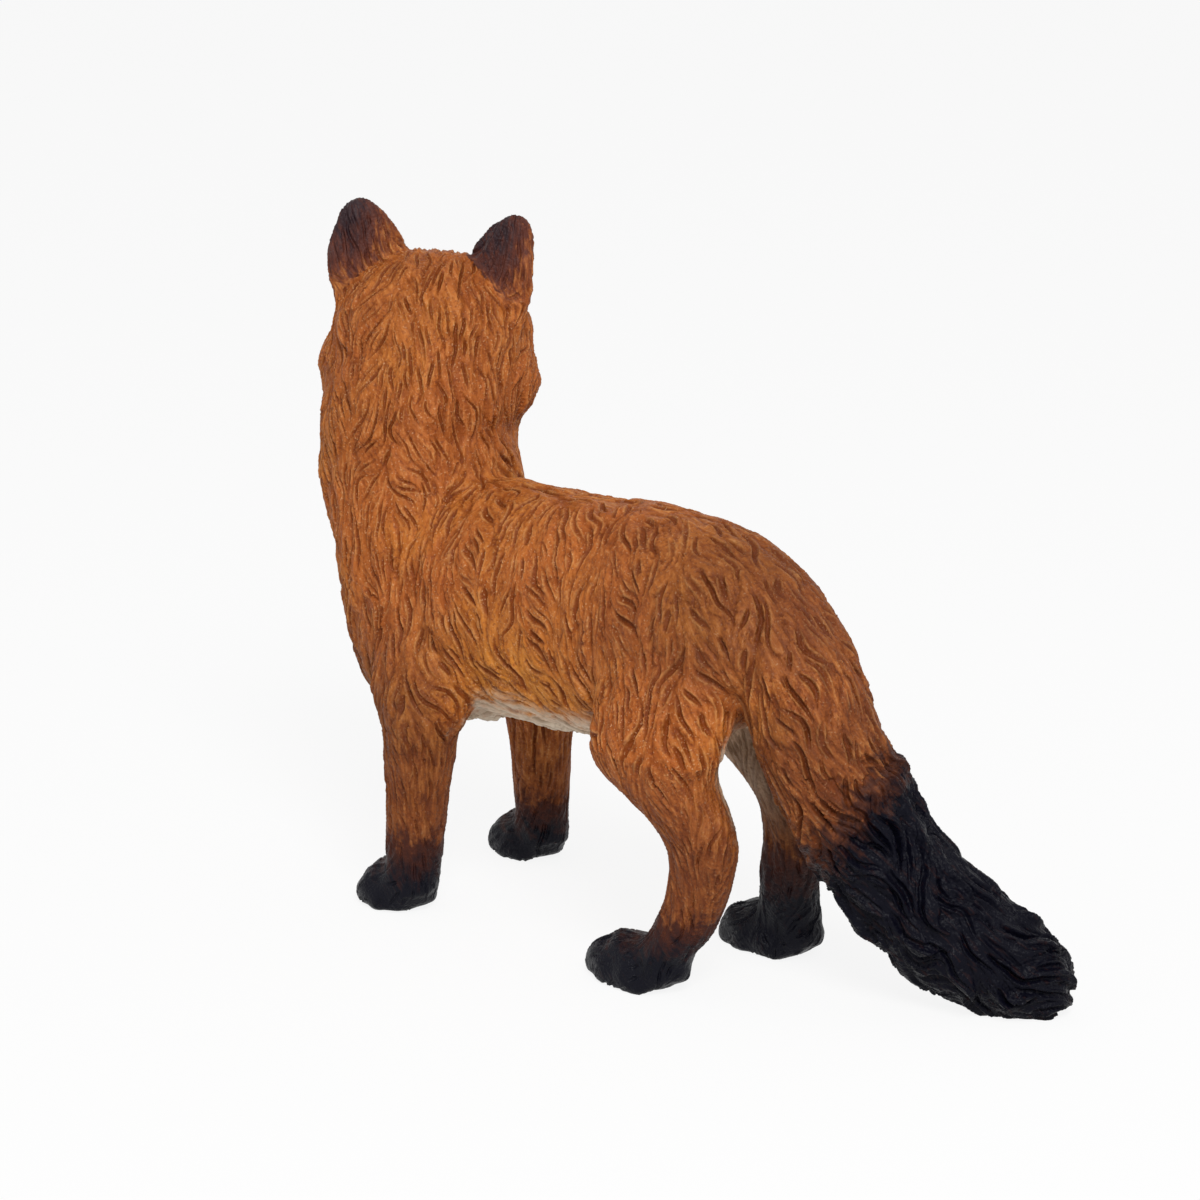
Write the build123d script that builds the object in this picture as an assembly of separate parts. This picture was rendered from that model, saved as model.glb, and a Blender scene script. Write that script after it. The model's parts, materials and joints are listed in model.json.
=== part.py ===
# Fox figurine, standing with its head turned: pieces moulded in soft PVC that plug together and are glued.
# Millimetres. The fox faces -Y, its left side is +X, and it stands on the plane z = 0.
# Lengthwise places are measured back from the withers until the finished figure is centred over the origin.
from build123d import *
import math
import os

# Trunk: four girths from the withers to the loin, then the croup runs into the tail
girth_spacing = 11.0
croup_length = 12.4
withers_top = 39.0
ribs_top = 40.2
waist_top = 40.8
loin_top = 41.0
withers_bottom = 19.0
ribs_bottom = 18.0
waist_bottom = 18.8
loin_bottom = 20.8
withers_width = 17.0
ribs_width = 18.0
waist_width = 17.0
loin_width = 17.0

# Chest column, from the brisket up to the neck seam
brisket_height = 16.6
brisket_width = 9.0
brisket_lead = -0.4
breast_width = 19.4
breast_lead = 0.6
chest_width = 20.2
chest_lead = 1.6
throat_width = 19.6
throat_lead = 4.0
neck_width = 18.8
neck_lead = 5.8
neck_seam_height = 42.0
neck_seam_tilt = 14.0

# Shoulders and haunches, each with the seat of a leg at its foot
fore_seat_height = 17.4
fore_seat_width = 7.2
fore_seat_spread = 17.8
fore_seat_setback = 3.0
shoulder_width = 8.8
shoulder_length = 11.6
shoulder_rise = 12.0
shoulder_lead = 3.4
shoulder_inset = 4.6
hind_seat_height = 21.6
hind_seat_width = 8.2
hind_seat_length = 14.4
hind_seat_spread = 15.2
left_thigh_setback = 2.4
right_thigh_setback = 0.8
haunch_width = 9.4
haunch_length = 15.0
haunch_rise = 12.0
haunch_lead = 0.6
haunch_inset = 5.0

# Head, turned to the fox's right and tipped a little that way
head_rise = 9.6
head_shift = 1.8
head_turn = 55.0
head_tip = 4.0
nape_width = 19.2
crown_width = 17.4
cranium_width = 19.2
cranium_depth = 16.6
cheek_diameter = 8.4
cheek_spread = 13.0
cheek_drop = 3.2
face_width = 13.6
face_height = 12.0
face_drop = 1.2
muzzle_root_width = 10.2
muzzle_root_height = 8.4
muzzle_tip_width = 4.8
muzzle_tip_height = 4.4
muzzle_drop = 3.4
muzzle_round = 1.3
muzzle_reach = 15.8
nose_width = 2.8
nose_length = 3.0
eye_width = 2.6
eye_spread = 8.0
eye_reach = 7.0
eye_lift = 1.8

# Ears
ear_length = 7.0
ear_width = 8.4
ear_thickness = 3.4
ear_spread = 12.2
ear_lift = 5.8
ear_setback = 0.5
ear_lean = 16.0
ear_splay = 25.0
ear_wall = 1.0
ear_root = 2.6

# Legs
fore_track = 19.4
left_fore_setback = 2.0
right_fore_setback = -1.6
forearm_width = 6.2
wrist_width = 5.4
wrist_setback = 2.4
hind_track = 15.2
left_hind_setback = 0.4
right_hind_setback = 1.8
gaskin_width = 7.0
gaskin_length = 10.4
hock_width = 5.6
hock_length = 7.2
left_hock_setback = 7.0
right_hock_setback = 4.4
shank_width = 5.2
shank_length = 6.0
shank_lead = 0.6
pastern_length = 6.8
hock_inset = 1.2
paw_width = 6.8
paw_centre_height = 1.1
fore_paw_length = 8.8
hind_paw_length = 12.0

# Tail: hangs from the croup, swings to the fox's right and rests its brush on the ground
tail_width = 11.0
tail_root_height = 28.9
tail_root_slope = 62.0
tail_bend_swing = 3.9
tail_bend_setback = 4.9
tail_bend_height = 14.8
tail_end_swing = 11.0
tail_end_setback = 15.0
tail_end_height = 4.0
tail_end_slope = 26.0
tail_end_heading = 36.0
tail_end_width = 9.4
tail_tip_length = 6.2

# Plug joints: the plugged piece has a peg and its partner a socket
joint_clearance = 0.1
peg_end_gap = 0.5
seat_room = 8.0
fore_peg_diameter = 3.0
fore_peg_length = 5.0
hind_peg_diameter = 4.0
hind_peg_length = 5.5
neck_peg_diameter = 8.0
neck_peg_length = 6.0
tail_peg_diameter = 5.0
tail_peg_length = 6.0

up = Vector(0, 0, 1)
loin_y = 3 * girth_spacing
left = 1
right = -1


# Egg-shaped section: a common width with its own reach above and below the widest line
def oval(plane, width, above, below):
    quarters = []
    for quarter in range(4):
        reach = above if quarter < 2 else below
        quarters.append(EllipticalCenterArc((0, 0), width / 2, reach, start_angle=90 * quarter))
    return plane * make_face(quarters)


def ring(plane, width):
    return oval(plane, width, width / 2, width / 2)


def ellipse(plane, width, length):
    return oval(plane, width, length / 2, length / 2)


# Level section plane, its width along X and its length along Y
def level(x, y, z):
    return Plane((x, y, z), x_dir=(1, 0, 0), z_dir=(0, 0, 1))


# Section plane square to a heading, its width level
def across(place, heading):
    return Plane(place, x_dir=up.cross(heading), z_dir=heading)


# Heading that slopes down towards the tail, swung towards the fox's right
def backward(slope, swing):
    slope = math.radians(slope)
    swing = math.radians(swing)
    return Vector(-math.cos(slope) * math.sin(swing), math.cos(slope) * math.cos(swing), -math.sin(slope))


# Egg with a round girth, its length along an axis
def egg(place, axis, length, girth):
    half = make_face([
        EllipticalCenterArc((0, 0), girth / 2, length / 2, start_angle=-90, arc_size=180),
        Line((0, length / 2), (0, -length / 2)),
    ])
    return Plane(place, z_dir=axis) * revolve(Plane.XZ * half, Axis.Z)


def peg(plane, diameter, length):
    return plane * Cylinder(diameter / 2, length, align=(Align.CENTER, Align.CENTER, Align.MIN))


def socket(plane, diameter, length):
    return peg(plane, diameter + 2 * joint_clearance, length + peg_end_gap)


# Space kept clear on one side of a seat for the piece that meets it there
def room(plane, width, length):
    face = ellipse(plane, width + 2 * joint_clearance, length + 2 * joint_clearance)
    return extrude(face, amount=seat_room)


# Cuts away what reaches below the ground, which leaves a flat face to stand on
def cut_flat(solid):
    size = solid.bounding_box().size
    ground = Box(size.X, size.Y, size.Z, align=(Align.CENTER, Align.CENTER, Align.MAX))
    middle = solid.bounding_box().center()
    return solid - Pos(middle.X, middle.Y, 0) * ground


# Seats that the body shares with the pieces plugged into it
def neck_seat():
    tilt = math.radians(neck_seam_tilt)
    normal = (0, -math.sin(tilt), math.cos(tilt))
    return Plane((0, -neck_lead, neck_seam_height), x_dir=(1, 0, 0), z_dir=normal)


def fore_sole_y(side):
    return left_fore_setback if side == left else right_fore_setback


def hind_sole_y(side):
    return loin_y + (left_hind_setback if side == left else right_hind_setback)


def fore_seat(side):
    return level(side * fore_seat_spread / 2, fore_sole_y(side) + fore_seat_setback, fore_seat_height)


def hind_seat(side):
    setback = left_thigh_setback if side == left else right_thigh_setback
    return level(side * hind_seat_spread / 2, loin_y + setback, hind_seat_height)


def hind_seat_face(side):
    return ellipse(hind_seat(side), hind_seat_width, hind_seat_length)


def tail_seat():
    return across(Vector(0, loin_y + croup_length, tail_root_height), backward(tail_root_slope, 0))


def trunk():
    girths = [
        (withers_top, withers_bottom, withers_width),
        (ribs_top, ribs_bottom, ribs_width),
        (waist_top, waist_bottom, waist_width),
        (loin_top, loin_bottom, loin_width),
    ]
    sections = []
    for index, (top, bottom, width) in enumerate(girths):
        place = Vector(0, index * girth_spacing, (top + bottom) / 2)
        sections.append(ellipse(across(place, backward(0, 0)), width, top - bottom))
    sections.append(ring(tail_seat(), tail_width))
    return loft(sections)


def chest():
    girths = [
        (brisket_lead, brisket_width),
        (breast_lead, breast_width),
        (chest_lead, chest_width),
        (throat_lead, throat_width),
    ]
    rise = (neck_seam_height - brisket_height) / len(girths)
    sections = []
    for index, (lead, width) in enumerate(girths):
        sections.append(ring(level(0, -lead, brisket_height + index * rise), width))
    sections.append(ring(neck_seat(), neck_width))
    return loft(sections)


# Muscle that rises from a leg seat into the trunk, leaning inwards and forwards
def muscle(seat_face, seat, side, width, length, rise, lead, inset):
    sections = [seat_face]
    for step in (1, 2, 3):
        share = step / 3
        place = level(seat.X - side * inset * share, seat.Y - lead * share, seat.Z + rise * share)
        sections.append(ellipse(place, width, length))
    return loft(sections)


def shoulder(side):
    seat = fore_seat(side)
    return muscle(ring(seat, fore_seat_width), seat.origin, side, shoulder_width, shoulder_length,
                  shoulder_rise, shoulder_lead, shoulder_inset)


def haunch(side):
    return muscle(hind_seat_face(side), hind_seat(side).origin, side, haunch_width, haunch_length,
                  haunch_rise, haunch_lead, haunch_inset)


def body():
    solid = trunk() + chest()
    for side in (left, right):
        solid = solid + shoulder(side) + haunch(side)
    for side in (left, right):
        solid = solid - room(-fore_seat(side), fore_seat_width, fore_seat_width)
        solid = solid - room(-hind_seat(side), hind_seat_width, hind_seat_length)
        solid = solid - socket(fore_seat(side), fore_peg_diameter, fore_peg_length)
        solid = solid - socket(hind_seat(side), hind_peg_diameter, hind_peg_length)
    solid = solid - room(neck_seat(), neck_width, neck_width)
    solid = solid - room(tail_seat(), tail_width, tail_width)
    solid = solid - socket(-neck_seat(), neck_peg_diameter, neck_peg_length)
    return solid - socket(-tail_seat(), tail_peg_diameter, tail_peg_length)


# Centre of the cranium with the head's own directions
def head_frame():
    turn = math.radians(head_turn)
    tip = math.radians(head_tip)
    facing = Vector(-math.sin(turn), -math.cos(turn), 0)
    crown = up * math.cos(tip) - up.cross(facing) * math.sin(tip)
    centre = Vector(-head_shift, -neck_lead, neck_seam_height + head_rise)
    return centre, facing, crown.cross(facing), crown


def muzzle_tip():
    centre, facing, leftward, crown = head_frame()
    return centre - crown * muzzle_drop + facing * (muzzle_reach - nose_length / 2)


def muzzle():
    centre, facing, leftward, crown = head_frame()
    face = centre - crown * face_drop
    tip = muzzle_tip()
    solid = loft([
        ellipse(across(face, facing), face_width, face_height),
        ellipse(across((face + tip) / 2, facing), muzzle_root_width, muzzle_root_height),
        ellipse(across(tip, facing), muzzle_tip_width, muzzle_tip_height),
    ])
    end = solid.faces().sort_by(Axis(face, facing))[-1]
    nose = tip + crown * (muzzle_tip_height - nose_width) / 2
    return fillet(end.edges(), muzzle_round) + egg(nose, facing, nose_length, nose_width)


def head():
    centre, facing, leftward, crown = head_frame()
    nape_place = level(-head_shift / 2, -neck_lead, neck_seam_height + head_rise / 2)
    crown_place = level(-head_shift, -neck_lead, neck_seam_height + head_rise)
    solid = loft([
        ring(neck_seat(), neck_width),
        ring(nape_place, nape_width),
        ring(crown_place, crown_width),
    ])
    solid = solid + egg(centre, leftward, cranium_width, cranium_depth)
    solid = solid + muzzle()
    for side in (left, right):
        cheek = centre + leftward * (side * cheek_spread / 2) - crown * cheek_drop
        eye = centre + leftward * (side * eye_spread / 2) + facing * eye_reach + crown * eye_lift
        solid = solid + Pos(cheek) * Sphere(cheek_diameter / 2) + Pos(eye) * Sphere(eye_width / 2)
    solid = solid - room(-neck_seat(), neck_width, neck_width)
    for side in (left, right):
        solid = solid - ear_blank(side, joint_clearance)
    return solid + peg(-neck_seat(), neck_peg_diameter, neck_peg_length)


# Section of an ear at a distance along it, its width across the opening
def ear_plane(side, along):
    centre, facing, leftward, crown = head_frame()
    lean = math.radians(ear_lean)
    splay = math.radians(ear_splay)
    axis = crown * math.cos(lean) + leftward * (side * math.sin(lean))
    opening = facing * math.cos(splay) + leftward * (side * math.sin(splay))
    base = centre + leftward * (side * ear_spread / 2) + crown * ear_lift - facing * ear_setback
    return Plane(base + axis * along, x_dir=opening.cross(axis), z_dir=axis)


# Ear before it is hollowed, larger all round by an allowance where it cuts its own pocket
def ear_blank(side, allowance):
    foot = ear_plane(side, -ear_root - allowance)
    sections = [ellipse(foot, ear_width + 2 * allowance, ear_thickness + 2 * allowance)]
    for share in (0.0, 0.4, 0.7, 0.9, 0.98):
        width = ear_width * ear_taper(share) + 2 * allowance
        thickness = ear_thickness * ear_taper(share) ** 0.5 + 2 * allowance
        sections.append(ellipse(ear_plane(side, ear_length * share), width, thickness))
    return loft(sections)


# Share of an ear's base width that is left at a share of its length
def ear_taper(share):
    return (1 - share ** 1.6) ** 0.6


def ear(side):
    depth = ear_thickness + ear_wall
    sections = []
    for share in (0.1, 0.4, 0.6, 0.8):
        plane = ear_plane(side, ear_length * share)
        place = plane.origin + plane.y_dir * (depth / 2 + ear_wall - ear_thickness / 2)
        hollow = Plane(place, x_dir=plane.x_dir, z_dir=plane.z_dir)
        sections.append(ellipse(hollow, ear_width * ear_taper(share) - 2 * ear_wall, depth))
    return ear_blank(side, 0) - loft(sections)


def foreleg(side):
    seat = fore_seat(side)
    x = side * fore_track / 2
    y = fore_sole_y(side)
    widths = [wrist_width, wrist_width, forearm_width]
    foot = Vector(x, y + wrist_setback, paw_centre_height)
    sections = []
    for index, width in enumerate(widths):
        place = foot + (seat.origin - foot) * (index / len(widths))
        sections.append(ring(level(place.X, place.Y, place.Z), width))
    sections.append(ring(seat, fore_seat_width))
    paw = egg(Vector(x, y, paw_centre_height), backward(0, 0), fore_paw_length, paw_width)
    solid = cut_flat(loft(sections) + paw)
    return solid + peg(seat, fore_peg_diameter, fore_peg_length)


def hind_leg(side):
    seat = hind_seat(side)
    x = side * hind_track / 2
    y = hind_sole_y(side)
    hock_x = x - side * hock_inset
    hock_y = y + (left_hock_setback if side == left else right_hock_setback)
    stations = [
        (x, y + (hock_y - y) / 3, shank_width, pastern_length),
        ((x + hock_x) / 2, y + (hock_y - y) * 2 / 3, shank_width, shank_length),
        (hock_x, hock_y - shank_lead, shank_width, shank_length),
        (hock_x, hock_y, hock_width, hock_length),
        ((hock_x + seat.origin.X) / 2, (hock_y + seat.origin.Y) / 2, gaskin_width, gaskin_length),
    ]
    rise = (hind_seat_height - paw_centre_height) / len(stations)
    sections = []
    for index, (section_x, section_y, width, length) in enumerate(stations):
        plane = level(section_x, section_y, paw_centre_height + index * rise)
        sections.append(ellipse(plane, width, length))
    sections.append(hind_seat_face(side))
    paw = egg(Vector(x, y, paw_centre_height), backward(0, 0), hind_paw_length, paw_width)
    solid = cut_flat(loft(sections) + paw)
    return solid + peg(seat, hind_peg_diameter, hind_peg_length)


def tail():
    seat = tail_seat()
    bend = Vector(-tail_bend_swing, seat.origin.Y + tail_bend_setback, tail_bend_height)
    end = Vector(-tail_end_swing, seat.origin.Y + tail_end_setback, tail_end_height)
    end_heading = backward(tail_end_slope, tail_end_heading)
    path = Spline(seat.origin, bend, end, tangents=[seat.z_dir, end_heading])
    sections = [ring(seat, tail_width)]
    for share in (0.25, 0.5, 0.75):
        sections.append(ring(across(path @ share, path % share), tail_width))
    sections.append(ring(across(end, end_heading), tail_end_width))
    brush = loft(sections) + egg(end, end_heading, 2 * tail_tip_length, tail_end_width)
    return cut_flat(brush) + peg(-seat, tail_peg_diameter, tail_peg_length)


pieces = {
    "body": body(),
    "head": head(),
    "left_ear": ear(left),
    "right_ear": ear(right),
    "left_foreleg": foreleg(left),
    "right_foreleg": foreleg(right),
    "left_hind_leg": hind_leg(left),
    "right_hind_leg": hind_leg(right),
    "tail": tail(),
}

# Centre the figure over the origin and write one file for each piece
box = Compound(list(pieces.values())).bounding_box()
centring = Pos(-box.center().X, -box.center().Y, 0)
os.makedirs("parts", exist_ok=True)
for name, solid in pieces.items():
    export_step(centring * solid, f"parts/{name}.step")
    print(name, round(solid.volume), solid.is_valid, len(solid.solids()))
print("size", box.size, "centred by", centring.position)
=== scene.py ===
import json
import math
from itertools import product

import bmesh
import bpy
import numpy as np
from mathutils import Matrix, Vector
from mathutils.bvhtree import BVHTree
from mathutils.kdtree import KDTree

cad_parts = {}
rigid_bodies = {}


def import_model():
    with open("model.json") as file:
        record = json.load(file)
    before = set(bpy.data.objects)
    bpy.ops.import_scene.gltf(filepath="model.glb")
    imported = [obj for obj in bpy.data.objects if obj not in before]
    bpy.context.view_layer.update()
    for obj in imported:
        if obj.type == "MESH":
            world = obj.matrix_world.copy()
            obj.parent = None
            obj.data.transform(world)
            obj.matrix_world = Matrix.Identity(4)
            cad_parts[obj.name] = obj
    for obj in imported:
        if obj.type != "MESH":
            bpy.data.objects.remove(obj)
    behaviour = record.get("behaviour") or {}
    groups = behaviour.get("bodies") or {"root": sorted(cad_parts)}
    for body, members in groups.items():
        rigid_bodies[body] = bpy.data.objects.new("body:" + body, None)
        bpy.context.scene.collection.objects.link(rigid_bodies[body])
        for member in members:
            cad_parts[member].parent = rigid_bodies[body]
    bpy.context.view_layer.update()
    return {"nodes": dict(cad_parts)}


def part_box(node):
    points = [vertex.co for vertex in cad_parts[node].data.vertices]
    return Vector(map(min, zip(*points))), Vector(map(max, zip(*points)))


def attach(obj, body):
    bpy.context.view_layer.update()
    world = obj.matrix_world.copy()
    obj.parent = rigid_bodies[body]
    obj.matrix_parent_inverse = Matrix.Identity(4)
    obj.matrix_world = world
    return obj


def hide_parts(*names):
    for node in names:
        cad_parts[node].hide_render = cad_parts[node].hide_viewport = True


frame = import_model()
rng = np.random.default_rng(11)

# The skin is shaped in millimetres and goes back to metres when it is cut into pieces
perMetre = 1000.0
withers = np.array((1.53134, -24.9634, 0))  # on the ground, where the CAD starts


def smoothStep(value, low, high):
    share = np.clip((value - low) / (high - low), 0, 1)
    return share * share * (3 - 2 * share)


def fadeOut(value, low, high):
    return 1 - smoothStep(value, low, high)


def unit(vectors):
    return vectors / np.maximum(np.linalg.norm(vectors, axis=-1, keepdims=True), 1e-9)


def dot(a, b):
    return np.einsum("...i,...i->...", a, b)


def readArray(items, key, width=1, kind=np.float32):
    values = np.empty(len(items) * width, kind)
    items.foreach_get(key, values)
    return values if width == 1 else values.reshape(-1, width)


def readPoints(mesh):
    return readArray(mesh.vertices, "co", 3).astype(float)


def readNormals(mesh):
    return readArray(mesh.vertex_normals, "vector", 3).astype(float)


def readEdges(mesh):
    return readArray(mesh.edges, "vertices", 2, np.int32)


def writePoints(mesh, points):
    mesh.vertices.foreach_set("co", points.astype(np.float32).ravel())
    mesh.update()


def addObject(name, data):
    item = bpy.data.objects.new(name, data)
    bpy.context.scene.collection.objects.link(item)
    return item


def setUp(item, settings):
    for key, value in settings.items():
        setattr(item, key, value)


def meshFrom(bm, name):
    mesh = bpy.data.meshes.new(name)
    bm.to_mesh(mesh)
    bm.free()
    return mesh


# Every point goes a share of the way to the mean of its neighbours
def relax(points, edges, rounds, share):
    count = len(points)
    first, second = edges[:, 0], edges[:, 1]
    neighbours = np.maximum(np.bincount(edges.ravel(), minlength=count), 1)
    for _ in range(rounds):
        mean = np.empty_like(points)
        for axis in range(points.shape[1]):
            total = np.bincount(first, points[second, axis], count)
            total += np.bincount(second, points[first, axis], count)
            mean[:, axis] = total / neighbours
        points = points + (mean - points) * share
    return points


def nearestTree(points):
    tree = KDTree(len(points))
    for index, point in enumerate(points.tolist()):
        tree.insert(point, index)
    tree.balance()
    return tree


def nearestIn(tree, points):
    return np.array([tree.find(point)[1] for point in points.tolist()])


def evaluated(item):
    graph = bpy.context.evaluated_depsgraph_get()
    return bpy.data.meshes.new_from_object(item.evaluated_get(graph), depsgraph=graph)


def modified(mesh, kind, **settings):
    holder = addObject("work", mesh)
    setUp(holder.modifiers.new("work", kind), settings)
    result = evaluated(holder)
    bpy.data.objects.remove(holder)
    bpy.data.meshes.remove(mesh)
    return result


# One skin over the nine CAD pieces
skinForm = {
    "voxel": 0.28, "margin": 1,  # mm
    "rounds": 26, "share": 0.5,  # softens the creases where the pieces meet
    "crispShare": 0.2,  # the same on the paws, the muzzle and the ears
    "crispPaws": (3, 6), "crispMuzzle": (7, 10), "crispEars": (9.5, 11.5),  # mm
}
pieceNames = sorted(frame["nodes"])


def mergedCopy(name):
    bm = bmesh.new()
    bm.from_mesh(frame["nodes"][name].data)
    bmesh.ops.remove_doubles(bm, verts=bm.verts, dist=1e-6)
    bmesh.ops.scale(bm, vec=[perMetre] * 3, verts=bm.verts)
    return bm


def makeSkin():
    whole = bmesh.new()
    surfaces = {}
    for name in pieceNames:
        bm = mergedCopy(name)
        surfaces[name] = BVHTree.FromBMesh(bm)
        mesh = meshFrom(bm, name)
        whole.from_mesh(mesh)
        bpy.data.meshes.remove(mesh)
    mesh = modified(meshFrom(whole, "skin"), "REMESH", mode="VOXEL", voxel_size=skinForm["voxel"])
    keepOuterShell(mesh)
    sortFaces(mesh, surfaces)
    points = readPoints(mesh)
    share = skinForm["share"] + (skinForm["crispShare"] - skinForm["share"]) * crispness(points)
    writePoints(mesh, relax(points, readEdges(mesh), skinForm["rounds"], share[:, None]))
    return modified(mesh, "SUBSURF", levels=1, render_levels=1)


# Drops the hollow shells round the pegs inside the figure
def keepOuterShell(mesh):
    bm = bmesh.new()
    bm.from_mesh(mesh)
    top = max(bm.verts, key=lambda vert: vert.co.z)
    reached = {top}
    front = [top]
    while front:
        vert = front.pop()
        for edge in vert.link_edges:
            other = edge.other_vert(vert)
            if other not in reached:
                reached.add(other)
                front.append(other)
    bmesh.ops.delete(bm, geom=[vert for vert in bm.verts if vert not in reached], context="VERTS")
    bm.to_mesh(mesh)
    bm.free()


# Each face goes to the CAD piece that it lies on, kept as its material number
def sortFaces(mesh, surfaces):
    low, high = (np.array([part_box(name)[end] for name in pieceNames]) * perMetre for end in (0, 1))
    low, high = low - skinForm["margin"], high + skinForm["margin"]
    numbers = np.zeros(len(mesh.polygons), np.int32)
    for polygon in mesh.polygons:
        centre = np.array(polygon.center)
        near = np.flatnonzero(((low < centre) & (centre < high)).all(axis=1))
        numbers[polygon.index] = min(near, key=lambda number: surfaces[pieceNames[number]].find_nearest(centre)[3])
    for name in pieceNames:
        mesh.materials.append(bpy.data.materials.new("sort_" + name))
    mesh.polygons.foreach_set("material_index", numbers)


# Places on the figure, in millimetres from the withers
headCentre = np.array((-1.8, -5.8, 51.6))
headTurn, headTip = math.radians(55), math.radians(4)  # to the fox's right, and back
facing = np.array((-math.sin(headTurn), -math.cos(headTurn), 0))
crown = np.array((facing[1] * math.sin(headTip), -facing[0] * math.sin(headTip), math.cos(headTip)))
leftward = np.cross(crown, facing)


# Direction from ahead, left and up of the head; side -1 mirrors it
def fromHead(ahead, left, up, side=1):
    return facing * ahead + leftward * (side * left) + crown * up


def inHead(points):
    away = points - headCentre
    return dot(away, facing), dot(away, leftward), dot(away, crown)


def crispness(points):
    place = points - withers
    ahead, left, up = inHead(place)
    paws = fadeOut(place[:, 2], *skinForm["crispPaws"])
    muzzle = smoothStep(ahead, *skinForm["crispMuzzle"])
    return np.maximum(paws, np.maximum(muzzle, smoothStep(up, *skinForm["crispEars"])))


tailForm = {
    "root": (0, 45.4, 28.9), "bend": (-3.9, 50.3, 14.8), "end": (-11, 60.4, 4),
    "rootSlope": 62,  # degrees below level
    "steps": 12, "beyond": 16,  # points in each half, and mm that the line runs on past the end
}


# The middle line of the tail, with each point's distance from the root
def tailLine():
    root, bend, end = (np.array(tailForm[key]) for key in ("root", "bend", "end"))
    slope = math.radians(tailForm["rootSlope"])
    leaving = np.array((0, math.cos(slope), -math.sin(slope)))
    through = unit(end - root)
    line = []
    for start, stop, out, into in ((root, bend, leaving, through), (bend, end, through, unit(end - bend))):
        span = np.linalg.norm(stop - start)
        for share in np.linspace(0, 1, tailForm["steps"], endpoint=False):
            a = 2 * share ** 3 - 3 * share ** 2 + 1
            b = share ** 3 - 2 * share ** 2 + share
            c = share ** 3 - share ** 2
            line.append(a * start + (1 - a) * stop + (b * out + c * into) * span)
    last = unit(line[-1] - line[-2])
    line += [line[-1] + last * step for step in range(1, tailForm["beyond"])]
    line = np.array(line)
    along = np.concatenate(([0], np.cumsum(np.linalg.norm(np.diff(line, axis=0), axis=1))))
    return line, along


def alongTail(points):
    line, along = tailLine()
    heading = unit(np.gradient(line, axis=0))
    nearest = nearestIn(nearestTree(line), points)
    return along[nearest] + dot(points - line[nearest], heading[nearest])


pawPlaces = {  # middle and length in mm, share of the height lost at the toes, rise of the heel in mm
    "left_foreleg": (9.7, 2, 8.8, 0.32, 0.9), "right_foreleg": (-9.7, -1.6, 8.8, 0.32, 0.9),
    "left_hind_leg": (7.6, 33.4, 12, 0.12, 1.9), "right_hind_leg": (-7.6, 34.8, 12, 0.12, 1.9),
}
pawForm = {
    "halfWidth": 5, "toeHeight": (5, 9), "heelHeight": (0.5, 6.5), "lumps": 0.1, "lumpSize": 2.2,  # mm
    "reach": 0.75, "toes": (0.1, 0.5), "heel": (0.22, 0.6),  # shares of the length, from the middle
}


# The top of a paw falls away to the toes, and its heel is off the ground
def slopePaws(points):
    side, back, height = (points - withers).T
    for x, y, length, slope, heel in pawPlaces.values():
        near = (np.abs(side - x) < pawForm["halfWidth"]) & (np.abs(back - y) < pawForm["reach"] * length)
        toes, rear = (np.array(pawForm[part]) * length for part in ("toes", "heel"))
        toes = smoothStep(y - back, *toes) * fadeOut(height, *pawForm["toeHeight"])
        rear = smoothStep(back - y, *rear) * fadeOut(height, *pawForm["heelHeight"])
        points[:, 2] = np.where(near, height * (1 - slope * toes) + heel * rear, points[:, 2])
    return points


print("skin: joining the CAD pieces")
skin = makeSkin()
points = slopePaws(readPoints(skin))
writePoints(skin, points)
normals = readNormals(skin)
edges = readEdges(skin)
place = points - withers
sideAt, backAt, heightAt = place.T
pieceOfFace = readArray(skin.polygons, "material_index", kind=np.int32)
pieceOf = np.zeros(len(points), np.int32)
pieceOf[readArray(skin.loops, "vertex_index", kind=np.int32)] = np.repeat(pieceOfFace, 4)  # all faces have four sides
isPiece = {name: pieceOf == number for number, name in enumerate(pieceNames)}
isLeg = np.any([isPiece[name] for name in pieceNames if name.endswith("leg")], axis=0)
isEar = isPiece["left_ear"] | isPiece["right_ear"]
isBody, isHead, isTail = isPiece["body"], isPiece["head"], isPiece["tail"]
isTrunk = isBody | isHead
print("skin:", len(points), "points")

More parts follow.
